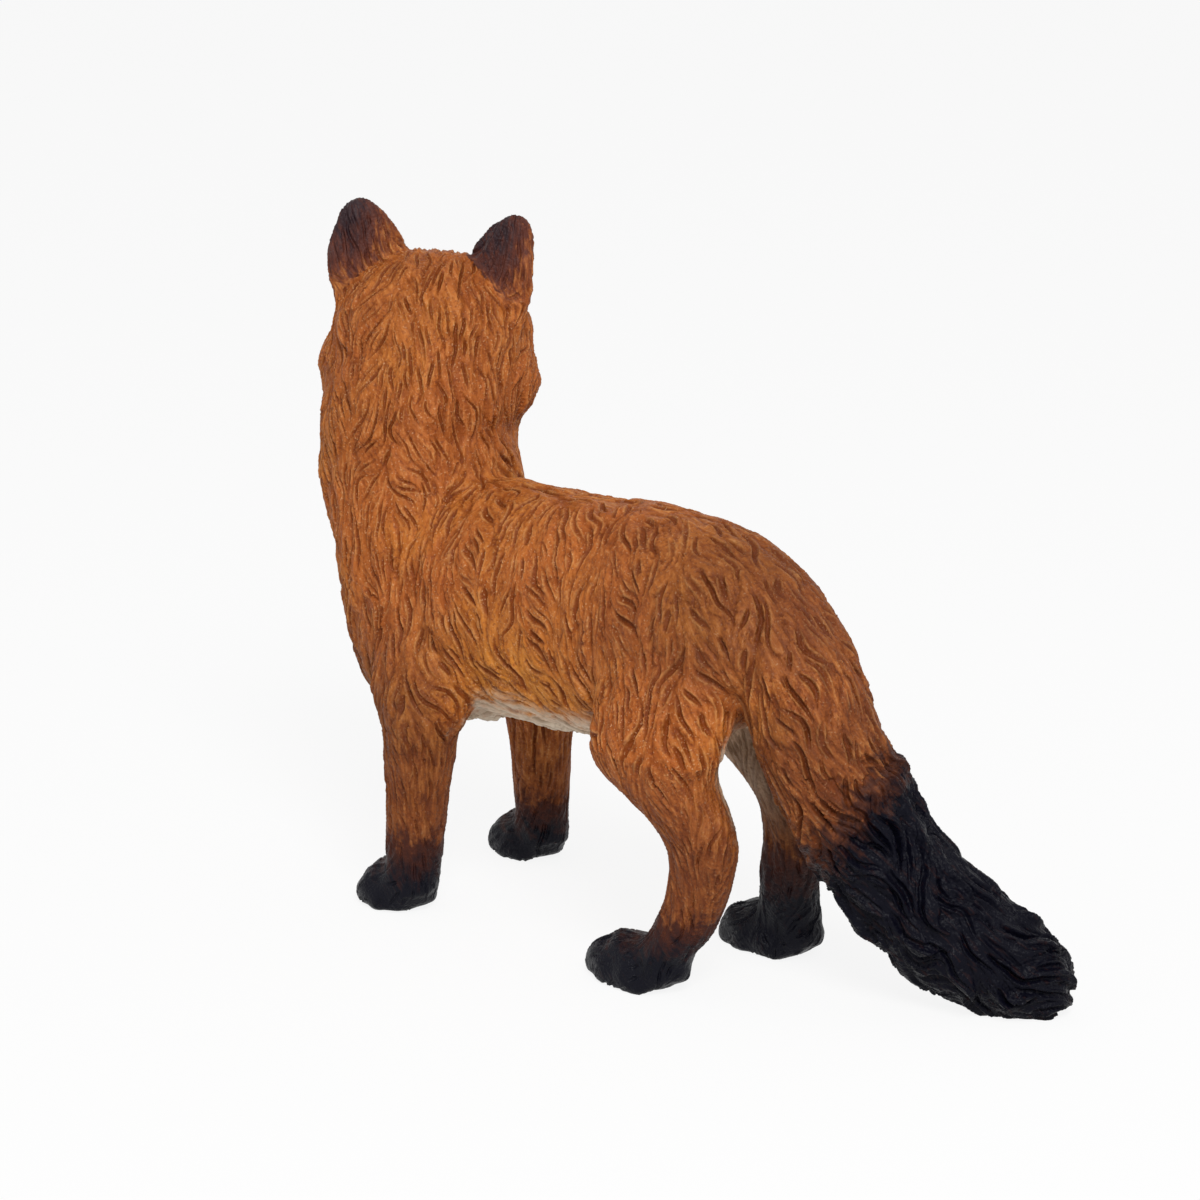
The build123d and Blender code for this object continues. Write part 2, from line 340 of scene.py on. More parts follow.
# Lie of the fur: where, and which way it runs, three numbers each; the right side mirrors the left
trunkLie = [
    (0, 3, 41, 0, 0.85, -0.5), (0, 15, 41, 0, 1, 0), (0, 30, 41, 0, 1, -0.1), (0, 39, 38, 0, 0.8, -0.5),
    (4, 6, 39.5, 0.5, 0.3, -0.8), (4, 14, 40, 0.7, 0.3, -0.65), (4, 24, 40, 0.6, 0.45, -0.65),
    (4, 33, 39.5, 0.5, 0.55, -0.65), (7, 5, 35, 0.3, 0.08, -0.95), (7.5, 15, 36, 0.3, 0.1, -0.95),
    (7.5, 25, 36, 0.25, 0.2, -0.95), (7, 35, 36, 0.3, 0.3, -0.9), (9, 4, 29, 0, 0.12, -1), (9, 13, 29, 0, 0.18, -1),
    (8.6, 21, 30, 0, 0.2, -1), (9.6, 32, 30, 0.1, 0.3, -0.95), (8, 40, 30, 0, 0.35, -0.9),
    (8, 6, 22, -0.1, 0.55, -0.8), (8, 14, 22, -0.1, 0.75, -0.65), (7.6, 20, 22, -0.1, 0.7, -0.7),
    (0, 10, 17.5, 0, 1, 0), (0, 25, 19.5, 0, 1, 0.1), (8.6, -2, 25, 0.05, 0.1, -1), (9, 3, 20, 0, 0.15, -1),
    (9, 27, 23, 0, 0.45, -0.9), (11, 34, 23, 0.05, 0.45, -0.9), (8, 42, 24, 0, 0.2, -1), (4, 43, 30, 0.1, 0.5, -0.85),
    (0, -12, 30, 0, 0.15, -1), (0, -9, 20, 0, 0.5, -0.85), (7, -8, 30, 0.1, 0.05, -1), (9.6, -5, 38, 0.05, 0.1, -1),
    (0, 4, 43, 0, 0.5, -0.85), (6.5, 2, 40, 0.25, 0.2, -0.95), (0, -15, 40, 0, 0.05, -1), (7, -12, 40, 0.1, 0, -1),
]
legLie = [
    (9.2, 2, 13, 0, 0.12, -1), (9.6, 3, 7, 0, -0.05, -1), (9.7, 0, 3, 0, -0.8, -0.5), (8, 36, 17, 0, 0.45, -0.9),
    (7.2, 40, 11, 0, 0.1, -1), (7.4, 37, 6, 0, -0.35, -0.95), (7.6, 33, 3, 0, -0.8, -0.5),
]
headLie = [  # ahead, left and up of the head's middle
    (0, 0, 8.3, -1, 0, 0), (-4, 0, 7, -0.75, 0, -0.65), (-4, 4, 6.5, -0.5, 0.5, -0.7), (-7, 0, 3, -0.25, 0, -0.97),
    (-6, 5, 3, -0.1, 0.35, -0.93), (-8.5, 0, -3, 0, 0, -1), (-5, 7, -3, 0, 0.1, -1), (0, 9.3, 1, -0.3, 0.15, -0.93),
    (0, 9.3, -5, -0.25, 0.1, -0.95), (3.5, 8.5, -3, -0.6, 0.35, -0.7), (3, 6.5, 4, -0.8, 0.45, 0.2),
    (6, 0, 5, -0.85, 0, 0.5), (6.5, 4, 1, -0.9, 0.4, 0), (11, 0, 0, -0.95, 0, 0.3), (10, 4, -3, -0.95, 0.25, -0.2),
    (9, 0, -6.5, -0.85, 0, -0.5), (3, 0, -9, -0.3, 0, -0.95), (0, 6.5, 9.5, 0, 0.2, 1), (0, 7.5, 13, 0, 0.1, 1),
    (-1.5, 6.5, 8, -0.2, 0.25, 0.9),
]
lieForm = {
    "middle": 0.5,  # mm from the middle within which a guide isn't mirrored
    "soft": 1.5, "rounds": 12, "share": 0.5,  # how softly one guide gives way to the next
    "batch": 40000, "waves": 6,
}


def mirrored(lie):
    return lie + [(-x, y, z, -goX, goY, goZ) for x, y, z, goX, goY, goZ in lie if x > lieForm["middle"]]


def headGuides():
    guides = []
    for guide in headLie:
        for side in (1, -1) if guide[1] > lieForm["middle"] else (1,):
            guides.append((*(headCentre + fromHead(*guide[:3], side)), *fromHead(*guide[3:], side)))
    return guides


def tailGuides():
    line = tailLine()[0]
    return np.hstack((line, unit(np.gradient(line, axis=0))))[2::3].tolist()


# The nearest guides have most say, and the lie is laid flat on the skin
def lieOfFur():
    guides = np.array(mirrored(trunkLie) + mirrored(legLie) + headGuides() + tailGuides(), float)
    at, go = guides[:, :3], unit(guides[:, 3:])
    lie = np.empty_like(place)
    for start in range(0, len(place), lieForm["batch"]):
        part = slice(start, start + lieForm["batch"])
        apart = ((place[part, None, :] - at[None]) ** 2).sum(axis=2)
        weight = 1 / (apart + lieForm["soft"]) ** 2
        lie[part] = weight @ go
    lie = relax(lie, edges, lieForm["rounds"], lieForm["share"])
    return unit(lie - normals * dot(lie, normals)[:, None])


# Slow random waves of about this size in mm, so that neighbours change alike
def drift(size, seed):
    waves = np.random.default_rng(seed)
    total = np.zeros(len(place))
    for _ in range(lieForm["waves"]):
        way = unit(waves.normal(size=3)) * (2 * math.pi / (size * waves.uniform(0.7, 1.5)))
        total += np.sin(place @ way + waves.uniform(0, 2 * math.pi))
    return total / math.sqrt(lieForm["waves"])


lie = lieOfFur()
tailAlong = alongTail(place)

# Share of each kind of fur, 0 to 1, and the mm over which one turns into the next
furSpans = {"neckBack": (2, 7), "neckHeight": (27, 36), "faceAhead": (3.5, 9), "faceUp": (-7, -5),
            "pawHeight": (3.5, 6), "brushAlong": (6.5, 13)}
ahead, left, up = inHead(place)
neckShare = fadeOut(backAt, *furSpans["neckBack"]) * smoothStep(heightAt, *furSpans["neckHeight"])
neckShare = isBody * neckShare
neckShare[isHead] = 1
faceShare = smoothStep(ahead, *furSpans["faceAhead"]) * smoothStep(up, *furSpans["faceUp"])
faceShare = isHead * faceShare
pawShare = isLeg * fadeOut(heightAt, *furSpans["pawHeight"])
brushShare = isTail * smoothStep(tailAlong, *furSpans["brushAlong"])
furShare = (1 - pawShare) * (1 - faceShare)
trunkShare = isBody * (1 - neckShare)
trunkShare[isTail] = 1 - brushShare[isTail]
furs = {"brush": brushShare, "flank": trunkShare, "neck": neckShare * furShare, "leg": isLeg * furShare,
        "ear": isEar * 1.0, "face": faceShare, "paw": pawShare}

# The fur swings from side to side in slow curves, tighter ones laid over wide ones
swayForm = {
    "swing": {"brush": 0.5, "flank": 0.42, "neck": 0.46, "leg": 0.25, "ear": 0.12, "face": 0.1, "paw": 0.4},  # radians
    "wide": 7, "tight": 3.2, "tightShare": 0.6,  # mm
}
swing = sum(swayForm["swing"][name] * where for name, where in furs.items())
sway = drift(swayForm["wide"], 3) + swayForm["tightShare"] * drift(swayForm["tight"], 4)
angle = swing * sway
lie = lie * np.cos(angle)[:, None] + np.cross(normals, lie) * np.sin(angle)[:, None]
sideways = np.cross(normals, lie)
skinTree = nearestTree(points)
print("fur: lie found")

# Strokes tried for each square mm, length, half width, depth and rim in mm, gap to the next in mm, bend in radians
strokeStyles = {
    "brush": (1.8, (4, 13), (0.17, 0.36), (0.3, 0.8), 0.1, 0.8, 0.35),
    "flank": (1.6, (2.3, 8), (0.15, 0.25), (0.12, 0.4), 0.07, 0.78, 0.4),
    "neck": (3.6, (2.2, 7.5), (0.1, 0.16), (0.1, 0.28), 0.06, 0.48, 0.42),
    "leg": (1.5, (1.5, 5), (0.11, 0.18), (0.07, 0.22), 0.04, 0.56, 0.4),
    "ear": (2.4, (1.6, 5), (0.11, 0.18), (0.09, 0.24), 0.05, 0.5, 0.25),
    "face": (2.8, (0.9, 2.6), (0.09, 0.13), (0.05, 0.12), 0.02, 0.42, 0.2),
    "paw": (1.2, (0.9, 3.2), (0.1, 0.18), (0.06, 0.2), 0.05, 0.75, 0.5),
}
# Pointed locks that overlap: each rises and narrows to its tip
lockStyles = {
    "brush": (0.6, (4.5, 10), (0.7, 1.15), (0.4, 0.85), 0, 1.6, 0.4),
    "flank": (0.8, (2.6, 6), (0.55, 0.9), (0.09, 0.22), 0, 1.1, 0.3),
    "neck": (1, (3, 7), (0.55, 0.9), (0.1, 0.28), 0, 1.1, 0.3),
}
traceForm = {
    "step": 0.2,  # mm between the points of a stroke
    "pointArea": 0.0145,  # square mm of skin for each point
    "shortest": 0.85,  # of a kind's least length, below which a stroke is left out
    "follow": 0.7,  # of the gap, that a stroke keeps once it has begun
    "bend": (0.3, 1), "wave": (0.6, 1.1), "phase": 0.6,
}
bendPhase = 2.4 * drift(6, 17)  # neighbouring strokes bend alike
stepLength = traceForm["step"]


def cellOf(at, gap):
    return (int(at.x // gap), int(at.y // gap), int(at.z // gap))


def tooNear(cells, here, gap, reach):
    for cell in product(*((c - 1, c, c + 1) for c in cellOf(here, gap))):
        for other in cells.get(cell, ()):
            if (other - here).length_squared < reach * reach:
                return True
    return False


# Strokes run with the fur from random places until they come too near another:
# place, half width, depth, rim, and share of the way along the stroke
def traceStrokes(settings):
    samples = []
    for name, (each, lengths, halfWidths, depths, rim, gap, mostBend) in settings.items():
        where = furs[name]
        total = where.sum()
        cells = {}
        starts = rng.choice(len(points), size=int(total * traceForm["pointArea"] * each), p=where / total)
        for start in starts:
            length = rng.uniform(*lengths)
            halfWidth = rng.uniform(*halfWidths)
            depth = rng.uniform(*depths)
            bend = mostBend * rng.uniform(*traceForm["bend"])
            wave = rng.uniform(*traceForm["wave"])
            index = int(start)
            phase = bendPhase[index] + rng.uniform(-traceForm["phase"], traceForm["phase"])
            path = []
            here = Vector(points[index])
            for step in range(int(length / stepLength)):
                if tooNear(cells, here, gap, gap * (1 if step == 0 else traceForm["follow"])):
                    break
                path.append(here.copy())
                turn = bend * math.sin(phase + wave * step * stepLength)
                go = Vector(lie[index]) * math.cos(turn) + Vector(sideways[index]) * math.sin(turn)
                here = here + go * stepLength
                found, index, apart = skinTree.find(here)
                outward = Vector(normals[index])
                here = here - outward * (here - found).dot(outward)
            if len(path) * stepLength < traceForm["shortest"] * lengths[0]:
                continue
            for step, at in enumerate(path):
                samples.append((*at, halfWidth, depth, rim, (step + 0.5) / len(path)))
                cells.setdefault(cellOf(at, gap), []).append(at)
    return np.array(samples)


# Lines that are given one by one and cut: between the toes, and along the mouth
handForm = {
    "toes": (-1.75, 0, 1.75), "toeSpread": (0.75, 0.35), "toeLength": 3.4, "toeFront": 0.2,
    "toeFoot": 0.5, "toeTop": 4.4, "toeSteps": 24, "toeCut": (0.34, 0.65, 0.12),  # half width, depth and rim
    "mouth": [(15.2, 0.3, -4.4), (14.3, 1.3, -4.7), (12.8, 2.2, -4.9), (10.8, 3.1, -5), (8.8, 4.2, -4.7),
              (7.6, 4.9, -4)],
    "mouthSteps": 10, "mouthCut": (0.18, 0.32, 0.03),
}


def toeLines():
    share = np.linspace(0, 1, handForm["toeSteps"])[:, None]
    back = (1 - share) * handForm["toeLength"] - handForm["toeFront"]
    near, far = handForm["toeSpread"]
    height = handForm["toeFoot"] + handForm["toeTop"] * (1 - share ** 2)
    return [np.hstack((x + toe * (near + far * share), y - length / 2 + back, height))
            for x, y, length, slope, heel in pawPlaces.values() for toe in handForm["toes"]]


def mouthLines():
    lines = []
    for side in (1, -1):
        marks = [headCentre + fromHead(*mark, side) for mark in handForm["mouth"]]
        shares = np.linspace(0, 1, handForm["mouthSteps"], endpoint=False)
        lines.append(np.array([a + (b - a) * share for a, b in zip(marks, marks[1:]) for share in shares]))
    return lines


def handLines():
    samples = []
    for lines, cut in ((toeLines(), handForm["toeCut"]), (mouthLines(), handForm["mouthCut"])):
        for line in lines:
            onSkin = np.array([skinTree.find(at)[0] for at in (line + withers).tolist()])
            onSkin[1:-1] = (onSkin[:-2] + onSkin[1:-1] + onSkin[2:]) / 3
            samples += [(*at, *cut, (step + 0.5) / len(onSkin)) for step, at in enumerate(onSkin)]
    return np.array(samples)


# Each point's nearest stroke: how far away it is, then the stroke's own values
def nearestStroke(samples):
    close = np.linalg.norm(np.diff(samples[:, :3], axis=0), axis=1) < 2 * stepLength
    halfway = ((samples[:-1] + samples[1:]) / 2)[close]
    samples = np.concatenate((samples, halfway))
    tree = nearestTree(samples[:, :3])
    nearest = np.empty(len(points), np.int32)
    apart = np.empty(len(points))
    for index, point in enumerate(points.tolist()):
        found, nearest[index], apart[index] = tree.find(point)
    return (apart, *samples[nearest, 3:].T)


# A groove's taper and cross-section, in half widths
grooveForm = {"lead": 0.8, "taper": 0.7, "tip": 0.4, "sharp": 2.6, "rimAt": 1.6, "rimWidth": 0.5}


# Grooves that taper at both ends, and their raised rims
def carveStrokes():
    strokes = np.concatenate((traceStrokes(strokeStyles), handLines()))
    print("fur: strokes", len(strokes))
    apart, width, depth, rim, share = nearestStroke(strokes)
    taper = np.sin(math.pi * share ** grooveForm["lead"]) ** grooveForm["taper"]
    width = width * (grooveForm["tip"] + (1 - grooveForm["tip"]) * taper)
    groove = np.exp(-(apart / width) ** grooveForm["sharp"])
    edge = np.exp(-((apart - grooveForm["rimAt"] * width) / (grooveForm["rimWidth"] * width)) ** 2)
    return groove * depth * taper, edge * rim * taper


lockForm = {  # shares of a lock's width and height, and of the way along it
    "narrow": 0.85, "narrows": (0.4, 1), "root": 0.4, "rises": (0, 0.7), "drop": 0.4, "drops": (0.75, 1),
    "level": 0.45,
}


# Locks stand up from the skin: their height in mm, and how deep in a gap between them a point is
def raiseLocks():
    samples = traceStrokes(lockStyles)
    print("fur: locks", len(samples))
    apart, width, height, rim, share = nearestStroke(samples)
    width = width * (1 - lockForm["narrow"] * smoothStep(share, *lockForm["narrows"]))
    rise = np.sqrt(np.clip(1 - (apart / width) ** 2, 0, 1))
    rise = rise * (lockForm["root"] + (1 - lockForm["root"]) * smoothStep(share, *lockForm["rises"]))
    rise = rise * (1 - lockForm["drop"] * smoothStep(share, *lockForm["drops"]))
    where = sum(furs[name] for name in lockStyles)
    return where * height * (rise - lockForm["level"]), where * height * (1 - rise)


# Noise drawn out along the lie, so that it looks combed
combStep = 0.42  # mm
combAhead = nearestIn(skinTree, points + lie * combStep)
combBehind = nearestIn(skinTree, points - lie * combStep)


def combed(width, length, seed):
    grain = np.random.default_rng(seed).normal(size=(len(points), 1))
    grain = relax(grain, edges, width, 0.6)[:, 0]
    total = grain.copy()
    front = back = np.arange(len(points))
    for _ in range(int(length / combStep / 2)):
        front, back = combAhead[front], combBehind[back]
        total += grain[front] + grain[back]
    total = relax(total[:, None], edges, width // 3, 0.5)[:, 0]
    return total / total.std()


# Fine lines between the strokes, where combed noise passes zero, broken here and there
wrinkleForm = {
    "width": 7, "length": 5.5, "halfWidth": 0.27, "breakSize": 2.6, "breaks": (-0.9, 0.3),
    "depth": {"brush": 0.18, "flank": 0.14, "neck": 0.085, "leg": 0.1, "ear": 0.1, "face": 0.06, "paw": 0.07},  # mm
}


def wrinkles():
    line = combed(wrinkleForm["width"], wrinkleForm["length"], 35)
    line = np.exp(-(line / wrinkleForm["halfWidth"]) ** 2)
    broken = smoothStep(drift(wrinkleForm["breakSize"], 36), *wrinkleForm["breaks"])
    return line * broken * sum(depth * furs[name] for name, depth in wrinkleForm["depth"].items())


# Lids round almond eye openings, and nostrils: mm, and directions from the head
eyeForm = {
    "middle": (6.95, 4.05, 1.75), "radius": 1.55, "proud": 0.22, "reach": 4,
    "outward": (0.86, 0.48, 0.12), "corner": (0.45, -0.75, -0.42), "look": (0.95, 0.3, 0.06),
    "halfLength": 1.75, "halfHeight": 1, "almond": 1.7, "lid": 0.26, "sink": 0.5,
    "lidAt": 1.6, "lidWidth": 0.6, "sinkSpan": (0.55, 1.15), "bareSpan": (1.8, 3),  # of the opening, 1 at its edge
}
noseForm = {"middle": (15, 0, -2.6), "radius": 1.6, "bare": 0.6,
            "nostril": (15.5, 0.62, -3), "nostrilRadius": 0.36, "nostrilDepth": 0.3}


def fromPlace(ahead, left, up, side=1):
    return np.linalg.norm(place - headCentre - fromHead(ahead, left, up, side), axis=1)


# An eye's place on the skin, and the ways out, to its inner corner and to its upper lid
def eyeFrame(side):
    found, index, apart = skinTree.find(headCentre + fromHead(*eyeForm["middle"], side) + withers)
    middle = np.array(found) - withers
    outward = unit(normals[index] + unit(fromHead(*eyeForm["outward"], side)))
    inward = fromHead(*eyeForm["corner"], side)
    inward = unit(inward - outward * dot(inward, outward))
    return middle, outward, inward, np.cross(inward, outward) * side


# Below 1 inside an eye's opening
def eyeOpening(side):
    middle, outward, inward, above = eyeFrame(side)
    away = place - middle
    opening = np.abs(dot(away, inward) / eyeForm["halfLength"]) ** eyeForm["almond"]
    opening += np.abs(dot(away, above) / eyeForm["halfHeight"]) ** eyeForm["almond"]
    near = isHead & (np.linalg.norm(away, axis=1) < eyeForm["reach"])
    return np.where(near, opening, 99)


# The skin round the eyes and the nose is smooth
def bareFace():
    bare = smoothStep(np.minimum(eyeOpening(1), eyeOpening(-1)), *eyeForm["bareSpan"])
    nose = fromPlace(*noseForm["middle"])
    return bare * smoothStep(nose, noseForm["radius"], noseForm["radius"] + noseForm["bare"])


def faceRelief():
    relief = np.zeros(len(place))
    for side in (1, -1):
        opening = eyeOpening(side)
        relief += eyeForm["lid"] * np.exp(-((opening - eyeForm["lidAt"]) / eyeForm["lidWidth"]) ** 2)
        relief -= eyeForm["sink"] * fadeOut(opening, *eyeForm["sinkSpan"])
        away = fromPlace(*noseForm["nostril"], side)
        relief -= noseForm["nostrilDepth"] * np.exp(-(away / noseForm["nostrilRadius"]) ** 2)
    return relief


# Strands of three widths: rounds of smoothing, length in mm, seed; and mm that they stand up or down
strandForm = {"fine": (1, 3.4, 31), "broad": (6, 5, 32), "tufts": (24, 6, 34)}
strandRise = {"fine": 0.025, "broad": 0.06, "tufts": 0.16}
brushForm = {"step": 0.6, "side": np.array((-0.743, 0.669, 0)), "sideSpan": (0.1, 0.6),  # the black hair stands out
             "rise": (9.3, 10.5), "fall": (11, 18)}  # mm along the tail
strokeDepth, rimHeight = carveStrokes()
lockHeight, lockShade = raiseLocks()
wrinkleDepth = wrinkles()
bare = bareFace()
strokeDepth, rimHeight, lockHeight, wrinkleDepth = (
    value * bare for value in (strokeDepth, rimHeight, lockHeight, wrinkleDepth))
fineStrands, broadStrands, tufts = (np.tanh(combed(*form)) * furShare for form in strandForm.values())
strands = strandRise["fine"] * fineStrands + strandRise["broad"] * broadStrands
strands += strandRise["tufts"] * tufts * (1 - 0.5 * isLeg)
strands += pawForm["lumps"] * drift(pawForm["lumpSize"], 44) * pawShare
brushSide = smoothStep(dot(normals, brushForm["side"]), *brushForm["sideSpan"])
brushEdge = smoothStep(tailAlong, *brushForm["rise"]) * fadeOut(tailAlong, *brushForm["fall"])
strands += brushForm["step"] * brushSide * isTail * brushEdge
points = points + normals * (rimHeight - strokeDepth - wrinkleDepth + lockHeight + strands + faceRelief())[:, None]
points[:, 2] = np.maximum(points[:, 2], 0)  # soles and the brush stay on the ground
writePoints(skin, points)
skinNormals = readNormals(skin)
print("fur: carved")

# Paint zones: the most of each, then what is measured, where it starts and is full, and how ragged that edge is
zoneSpans = {
    # painted shade running up the shoulders from the forelegs
    "shoulderShade": [1, ("back", 11, 7.5), ("side", 4, 7)],
    "brushBlack": [1, ("brush", 7.5, 14, 1.6)], "brushUmber": [1, ("brush", 1, 11.5, 2)],
    # the root of the brush, the loin and the rump carry painted shade where their tops face the lamp
    "brushRootShade": [0.32, ("along", -4, 5)],
    "loinShade": [0.15, ("back", 20, 32), ("height", 22, 33)], "rumpShade": [0.15, ("back", 30, 42), ("height", 22, 33)],
    # painted shade on the back of the neck and the head
    "napeShade": [0.09, ("height", 32, 44), ("ahead", 7, 3)],
    "earBack": [1, ("up", 0.3, 12.3, 0.9)], "earEdge": [0.7, ("acrossEar", -1.4, 3.6, 0.5)],
    "lids": [1, ("opening", 1.8, 1.1)], "tear": [0.6, ("fromEye", 4, 3)],
    "whiskers": [0.4, ("fromWhiskers", 1.8, 0.6, 0.5)], "nose": [1, ("fromNose", 1.9, 1.6)],
    "lips": [0.85, ("cut", 0.12, 0.3), ("up", -3.4, -3.9), ("up", -5.6, -5.1)],
    "belly": [1, ("down", 0.45, 0.85, 1), ("height", 25, 19), ("back", -8, -2)],
    "groin": [1, ("back", 16.5, 19.5), ("out", 5, 7)],
    "thigh": [0.8, ("inward", 0.3, 0.8, 1), ("back", 22, 27), ("height", 11, 17), ("height", 26, 22), ("out", 7, 5)],
    "throat": [0.3, ("height", 32, 44)], "neckTurn": [1, ("height", 28, 46)], "chin": [1, ("up", -4.2, -5.6)],
    "bib": [1, ("front", 0.62, 0.86, 1), ("height", 19, 27, 6), ("back", 6, 3)],
    "muzzle": [1, ("ahead", 7.6, 9.6)], "mask": [1, ("belowEdge", -0.6, 0.9, 3), ("ahead", 2.2, 4.4, 6)],
    "ruff": [0.5, ("ahead", 2, 4.5), ("up", -1, -4), ("wide", 6, 8)],
    "earInside": [0.75, ("forward", 0.15, 0.6), ("up", 13, 10)],
    "amber": [1, ("low", 15, 20), ("low", 34, 22), ("back", 7, 12), ("back", 30, 18)],
}
measures = {
    "out": np.abs(sideAt), "back": backAt, "height": heightAt, "along": tailAlong,
    "ahead": ahead, "wide": np.abs(left), "up": up, "cut": strokeDepth,
    "down": -normals[:, 2], "inward": -np.sign(sideAt) * normals[:, 0], "forward": dot(normals, facing),
    "low": heightAt + 1.2 * drift(5, 12), "fromNose": fromPlace(*noseForm["middle"]),
}
# Heights in mm between which black turns to umber, and umber to orange; the umber high on the legs is partly the
# stockings' dark paint and partly painted shade under the body
stockings = {"left_foreleg": (2, 9.5, 16, 34), "right_foreleg": (1.5, 8.5, 3, 24),
             "left_hind_leg": (2.5, 9, 12, 30), "right_hind_leg": (4, 14, 12, 27)}
paintForm = {
    "brushTilt": 0.5, "brushMiddle": 4, "brushReach": (-10, 2),  # the black starts later away from the hip
    "stocking": 0.34, "tearAt": (2.3, -0.2), "tearSize": (1, 0.45), "whiskers": (12.6, 2.6, -3.2), "lipsAhead": 7.4,
    "muzzleEdge": -2.7, "cheekEdge": -4.3, "cheekRise": 0.42, "cheekSide": 4.5,
    "neckBack": 6, "neckHeight": (22, 52),
}


def zone(name, ragged=0):
    share, *spans = zoneSpans[name]
    for key, start, full, *rough in spans:
        share = share * smoothStep(measures[key] + sum(rough) * ragged, start, full)
    return share


# Lays more paint over what is there, on some of the skin
def over(paint, more, where):
    return np.where(where, np.maximum(paint, more), paint)


def legSootAndShade(soot, ragged):
    for name, (low, mid, start, high) in stockings.items():
        black = fadeOut(heightAt + ragged, low, mid)
        umber = fadeOut(heightAt + 1.5 * ragged, start, high)
        # above the black, the umber is partly the stockings' dark paint and partly painted shade under the body
        shade = (0.5 * black + paintForm["stocking"] * (1 - black)) * umber
        soot = np.where(isPiece[name], 0.5 * black + shade, soot)
        if name.endswith("foreleg"):  # the shade runs on up the shoulder
            measures["side"] = np.sign(pawPlaces[name][0]) * sideAt
            soot = over(soot, paintForm["stocking"] * umber * zone("shoulderShade"), isBody)
    return soot


def tailSootAndShade(soot, ragged):
    across = dot(place, brushForm["side"])
    middle = np.polyfit(tailAlong[isTail], across[isTail], 2)
    across = np.clip(across - np.polyval(middle, tailAlong) - paintForm["brushMiddle"], *paintForm["brushReach"])
    measures["brush"] = tailAlong + paintForm["brushTilt"] * across
    # black and umber paint of the brush, with painted shade at its root and over the croup
    shade = np.maximum(0.5 * zone("brushUmber", ragged) ** 1.5, zone("brushRootShade"))
    soot = np.where(isTail, 0.5 * zone("brushBlack", ragged) + shade, soot)
    return np.maximum(soot, zone("loinShade") + zone("rumpShade"))


def earSoot(soot, ragged):
    across = dot(place - headCentre, brushForm["side"])
    for name in ("left_ear", "right_ear"):
        measures["acrossEar"] = across - across[isPiece[name]].mean()
        dark = zone("earBack", ragged) * (1 - zone("earEdge", ragged))
        soot = np.where(isPiece[name], dark, soot)
    return soot


def faceSoot(soot, ragged):
    for side in (1, -1):
        middle, outward, inward, above = eyeFrame(side)
        away = place - middle
        measures["opening"] = eyeOpening(side)
        measures["fromEye"] = np.linalg.norm(away, axis=1)
        measures["fromWhiskers"] = fromPlace(*paintForm["whiskers"], side)
        tear = [(dot(away, way) - at) / size
                for way, at, size in zip((inward, above), paintForm["tearAt"], paintForm["tearSize"])]
        tear = np.exp(-tear[0] ** 2 - tear[1] ** 2) * zone("tear")
        for mark in (zone("lids"), tear, zone("whiskers", ragged)):
            soot = over(soot, mark, isHead)
    lips = (ahead > paintForm["lipsAhead"]) * zone("lips")
    return over(soot, np.maximum(zone("nose"), lips), isHead)


# black paint, with painted shade on the upper legs, the shoulders, the croup, the root of the tail and the nape
def sootAndShadeZone():
    ragged = 0.45 * drift(1.6, 5) + 0.25 * drift(0.7, 6) + 0.35 * fineStrands
    soot = np.zeros(len(place))
    for add in (legSootAndShade, tailSootAndShade, earSoot, faceSoot):
        soot = add(soot, ragged)
    return soot


# The front of the neck turns with the head, from the breast up to the throat: 1 in front, -1 behind
def frontShare():
    low, high = paintForm["neckHeight"]
    neck = isTrunk & (backAt < paintForm["neckBack"]) & (heightAt > low) & (heightAt < high)
    around = [at - np.polyval(np.polyfit(heightAt[neck], at[neck], 2), heightAt) for at in (sideAt, backAt)]
    turn = headTurn * zone("neckTurn")
    return -(np.sin(turn) * around[0] + np.cos(turn) * around[1]) / np.maximum(np.hypot(*around), 0.1)


def creamZone():
    ragged = 0.1 * drift(1.4, 8) + 0.03 * drift(0.6, 9) + 0.1 * fineStrands + 0.1 * broadStrands
    cream = isBody * zone("belly", ragged) * (1 - zone("groin"))
    cream = over(cream, zone("thigh", ragged), isBody | isLeg)
    measures["front"] = frontShare() + zone("throat")
    cream = over(cream, zone("bib", ragged) * np.where(isHead, zone("chin"), 1), isTrunk)
    cheek = paintForm["cheekEdge"] + paintForm["cheekRise"] * np.maximum(measures["wide"] - paintForm["cheekSide"], 0)
    measures["belowEdge"] = zone("muzzle") * paintForm["muzzleEdge"] + (1 - zone("muzzle")) * cheek - up
    cream = over(cream, np.maximum(zone("mask", ragged), zone("ruff")), isHead)
    return np.where(isEar, zone("earInside"), cream)


# Degrees that hair leans back from straight down in each of a material's patterns
downFur = [(0, 0, 0), (40, 0, 0), (85, 0, 0)]
tailFur = [(24, 0, 39), (49, 0, 35)]
tailTurn = (0, 10)  # mm along the tail between its two patterns
deepest, highest = 0.3, 0.05  # mm of groove and rim that count as 1

# What the materials read from the skin, 0 to 1
cream = creamZone()
